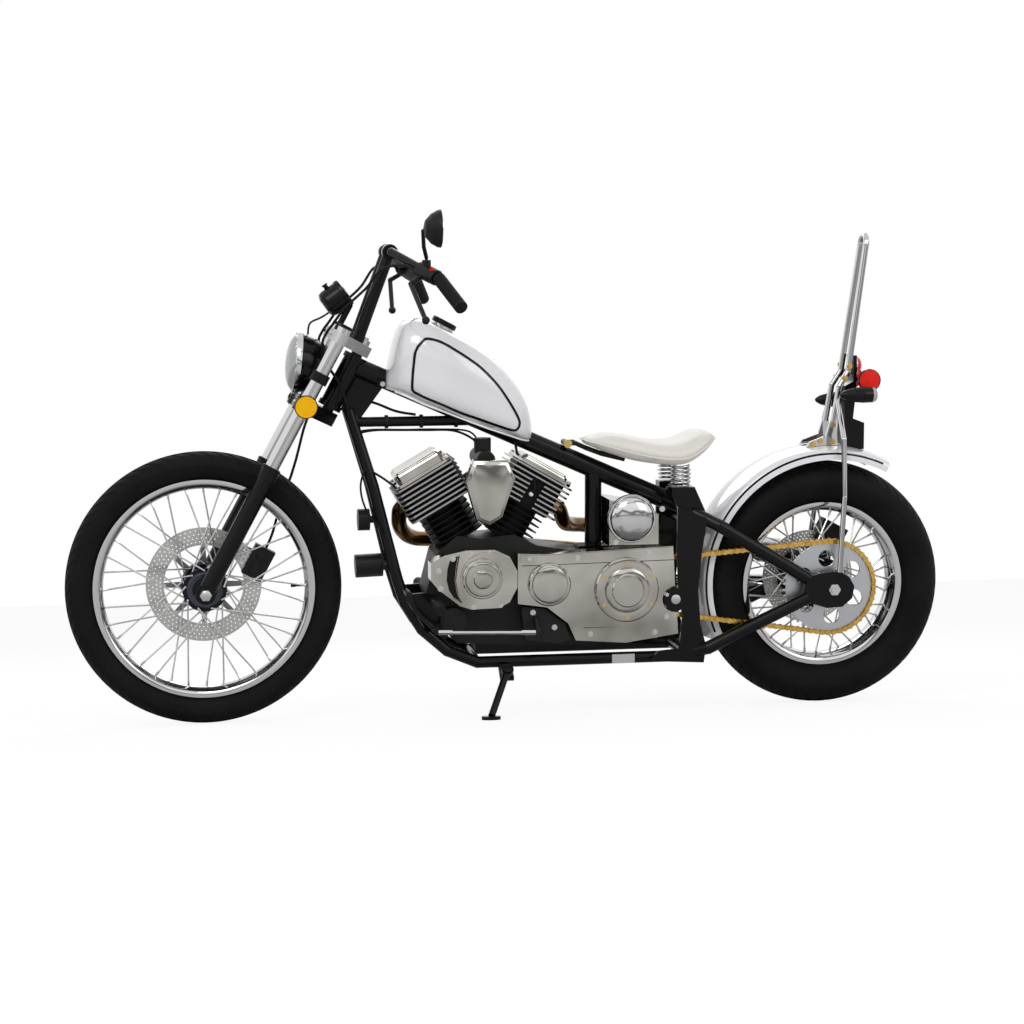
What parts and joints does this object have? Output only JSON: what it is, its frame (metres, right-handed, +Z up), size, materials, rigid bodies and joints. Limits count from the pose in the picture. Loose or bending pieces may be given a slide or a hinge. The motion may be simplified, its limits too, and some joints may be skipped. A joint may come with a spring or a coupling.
{
  "type": "chopper motorcycle",
  "caption": "Small rigid-frame chopper motorcycle parked on its side stand, with raked fork, finned V-twin engine, spoked wheels, chain drive, sprung solo seat and sissy bar.",
  "frame": {"origin": "bottom centre of the bounding box, on the ground, with the machine leaning on its side stand", "axes": "+X from the front wheel to the rear wheel, +Y towards the rider's right, +Z up from the ground"},
  "size_m": [2.296, 0.7583, 1.2508],
  "materials": {
    "amber_lens": "moulded amber lens",
    "black_plastic": "moulded black",
    "black_rubber": "moulded rubber",
    "case_grey": "dark cast case",
    "cast_aluminium": "natural aluminium",
    "chrome": "chrome plate",
    "clear_lens": "clear lamp glass",
    "engine_black": "satin black, fin edges polished",
    "gloss_black": "gloss black paint",
    "gold_steel": "gold coated chain steel",
    "polished": "mirror polish",
    "red_lens": "moulded red lens",
    "stainless": "ground stainless",
    "tinted_pipe": "heat tinted bronze",
    "tyre": "road tyre rubber",
    "white_paint": "pearl white gloss, black pinstripes",
    "white_vinyl": "cream white vinyl",
    "zinc_steel": "zinc plated"
  },
  "bodies": {
    "frame": {"frame": "gloss_black", "crankcase": "case_grey", "cylinders": "engine_black", "rocker_covers": "polished", "intake_cover": "polished", "primary_cover": "polished", "stator_cover": "polished", "round_covers": "polished", "right_cover": "polished", "exhaust_pipes": "tinted_pipe", "mufflers": "chrome", "fuel_tank": "white_paint", "fuel_cap": "gloss_black", "seat": "white_vinyl", "seat_springs": "chrome", "seat_strap": "gloss_black", "oil_tank": "chrome", "rear_fender": "white_paint", "sissy_bar": "chrome", "tail_bracket": "gloss_black", "red_lenses": "red_lens", "rear_signals": "black_plastic", "chain": "gold_steel", "foot_controls": "gloss_black", "horn": "black_plastic", "front_lamp": "black_plastic", "rear_axle": "zinc_steel", "rear_caliper": "case_grey", "carburettor": "case_grey", "clutch_cable": "black_rubber", "throttle_cable": "black_rubber"},
    "fork": {"lower_clamp": "gloss_black", "upper_clamp": "cast_aluminium", "fork_tubes": "chrome", "fork_sliders": "gloss_black", "front_axle": "zinc_steel", "headlamp": "gloss_black", "headlamp_lens": "clear_lens", "speedometer": "black_plastic", "handlebar": "gloss_black", "grips": "black_rubber", "hand_controls": "black_plastic", "mirror_piece": "black_plastic", "amber_reflectors": "amber_lens", "front_caliper": "case_grey", "brake_hose": "black_rubber", "lamp_wire": "black_rubber"},
    "front_wheel": {"front_tyre": "tyre", "front_rim": "chrome", "front_hub": "gloss_black", "front_disc": "stainless"},
    "rear_wheel": {"rear_tyre": "tyre", "rear_rim": "chrome", "rear_hub": "gloss_black", "rear_disc": "stainless", "sprocket": "cast_aluminium"},
    "side_stand": {"side_stand": "gloss_black"}
  },
  "joints": [
    {"name": "steering", "type": "hinge", "parent": "frame", "child": "fork", "pos_m": [-0.43939, 0.02781, 0.86451], "axis": [0.4772, -0.1223, 0.8703], "range_deg": [-30, 30], "deforming": ["clutch_cable", "throttle_cable"]},
    {"name": "front_wheel_spin", "type": "hinge", "parent": "fork", "child": "front_wheel", "pos_m": [-0.798, 0.10048, 0.34743], "axis": [0, 0.9903, 0.1392], "continuous": true},
    {"name": "rear_wheel_spin", "type": "hinge", "parent": "frame", "child": "rear_wheel", "pos_m": [0.824, 0.1041, 0.32168], "axis": [0, 0.9903, 0.1392], "continuous": true},
    {"name": "side_stand_fold", "type": "hinge", "parent": "frame", "child": "side_stand", "pos_m": [-0.038, -0.01035, 0.11575], "axis": [0, -0.7746, 0.6324], "range_deg": [0, 112.3]}
  ]
}
